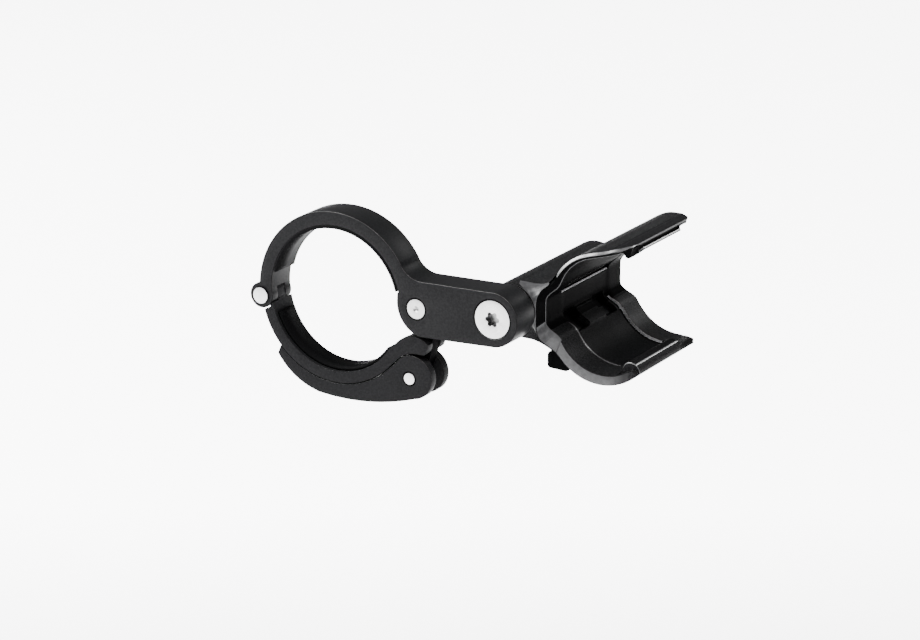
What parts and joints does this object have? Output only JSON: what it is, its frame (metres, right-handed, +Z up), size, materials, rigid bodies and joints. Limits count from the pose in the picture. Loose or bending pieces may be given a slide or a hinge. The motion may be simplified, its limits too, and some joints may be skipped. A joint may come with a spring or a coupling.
{
  "type": "bicycle light mount",
  "caption": "Handlebar light mount with a hinged bar clamp, a cam lever and an open C-shaped light cradle with a long tongue that tilts on a bolt.",
  "frame": {"origin": "centre of the handlebar clamp's bore, in the middle of the clamp's plates", "axes": "+Y along the handlebar, from the clamp to the cradle's side; +X forward, from the handlebar to the cradle; +Z up"},
  "size_m": [0.1001, 0.0571, 0.0466],
  "materials": {
    "clamp_coat": "fine satin black coat",
    "strip_rubber": "smooth black strip",
    "jaw_coat": "fine satin black coat",
    "pin_steel": "turned bright steel",
    "link_steel": "black oxide",
    "lever_coat": "fine satin black coat",
    "cradle_plastic": "glass-filled black plastic with a satin grain",
    "bolt_steel": "bright steel",
    "insert_brass": "turned brass",
    "washer_plastic": "black plastic"
  },
  "bodies": {
    "clamp": {"upper_clamp": "clamp_coat", "upper_liner": "strip_rubber", "hinge_pin": "pin_steel", "link_pin": "pin_steel"},
    "jaw": {"lower_jaw": "jaw_coat", "lower_liner": "strip_rubber"},
    "link": {"swing_link": "link_steel", "cam_pin": "pin_steel"},
    "lever": {"cam_lever": "lever_coat"},
    "cradle": {"cradle": "cradle_plastic", "tilt_bolt": "bolt_steel", "thread_insert": "insert_brass", "thrust_washer": "washer_plastic"}
  },
  "joints": [
    {"name": "jaw_hinge", "type": "hinge", "parent": "clamp", "child": "jaw", "pos_m": [-0.0212, 0, -0.0022], "axis": [0, -1, 0], "range_deg": [0, 0.5]},
    {"name": "link_swing", "type": "hinge", "parent": "clamp", "child": "link", "pos_m": [0.0227, 0, 0.0009], "axis": [0, -1, 0], "range_deg": [0, 30]},
    {"name": "lever_open", "type": "hinge", "parent": "link", "child": "lever", "pos_m": [0.0207, 0, -0.0169], "axis": [0, -1, 0], "range_deg": [0, 150]},
    {"name": "cradle_tilt", "type": "hinge", "parent": "clamp", "child": "cradle", "pos_m": [0.0435, 0, 0.0015], "axis": [0, -1, 0], "range_deg": [-30, 45]}
  ],
  "couplings": [
    {"joint": "link_swing", "follows": "lever_open", "ratio": 0.2}
  ]
}
